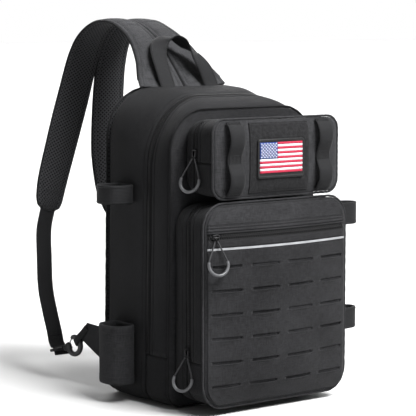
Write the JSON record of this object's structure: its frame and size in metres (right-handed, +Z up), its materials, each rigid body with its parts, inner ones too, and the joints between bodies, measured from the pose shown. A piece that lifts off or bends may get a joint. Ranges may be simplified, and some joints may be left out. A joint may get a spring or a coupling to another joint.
{
  "type": "fishing rucksack",
  "caption": "Upright black nylon rucksack for fishing, with two zipped front pockets, a slotted outer panel, padded shoulder straps, a carrying loop and side loops for a rod and tools.",
  "frame": {"origin": "on the ground under the middle of the main compartment's flat base", "axes": "+X to the right seen from the front, +Y to the wearer's back, +Z up; the pockets face -Y"},
  "size_m": [0.3435, 0.4274, 0.5117],
  "materials": {
    "nylon": "matte woven nylon",
    "mesh": "open spacer mesh over foam",
    "webbing": "ribbed woven webbing",
    "zip": "zip tape with a moulded coil",
    "loop_pile": "loop pile of a touch fastener",
    "reflective": "retroreflective tape",
    "cord": "braided cord",
    "plastic": "moulded acetal",
    "metal": "black painted die casting",
    "embroidery": "embroidered striped patch"
  },
  "bodies": {
    "root": {"main_gusset_rear": "nylon", "main_gusset_front": "nylon", "main_gusset_base": "nylon", "main_front": "nylon", "main_piping": "nylon", "back_piping": "nylon", "pocket_gusset_rear": "nylon", "pocket_gusset_front": "nylon", "pocket_gusset_base": "nylon", "pocket_front": "nylon", "slotted_panel": "nylon", "slash_cover": "nylon", "pocket_piping": "nylon", "top_gusset_rear": "nylon", "top_gusset_front": "nylon", "top_gusset_base": "nylon", "top_front": "nylon", "top_piping": "nylon", "anchor_wing_left": "nylon", "anchor_wing_right": "nylon", "rod_sleeve": "nylon", "back_panel": "mesh", "strap_left": "mesh", "strap_right": "mesh", "grab_handle": "webbing", "web_strip_left": "webbing", "web_strip_right": "webbing", "webbing_left": "webbing", "webbing_right": "webbing", "anchor_tab_left": "webbing", "anchor_tab_right": "webbing", "rod_loop": "webbing", "tool_loop_upper": "webbing", "tool_loop_lower": "webbing", "main_zip": "zip", "pocket_zip": "zip", "top_zip": "zip", "slash_zip": "zip", "loop_field": "loop_pile", "reflective_strip": "reflective", "pull_cord_top": "cord", "pull_cord_pocket": "cord", "pull_cord_slash": "cord", "pull_grip_top": "plastic", "pull_grip_pocket": "plastic", "pull_grip_slash": "plastic", "snap_hook_left": "plastic", "snap_hook_right": "plastic", "slider_top": "metal", "slider_pocket": "metal", "slider_slash": "metal", "slider_main": "metal", "patch": "embroidery"}
  },
  "joints": []
}
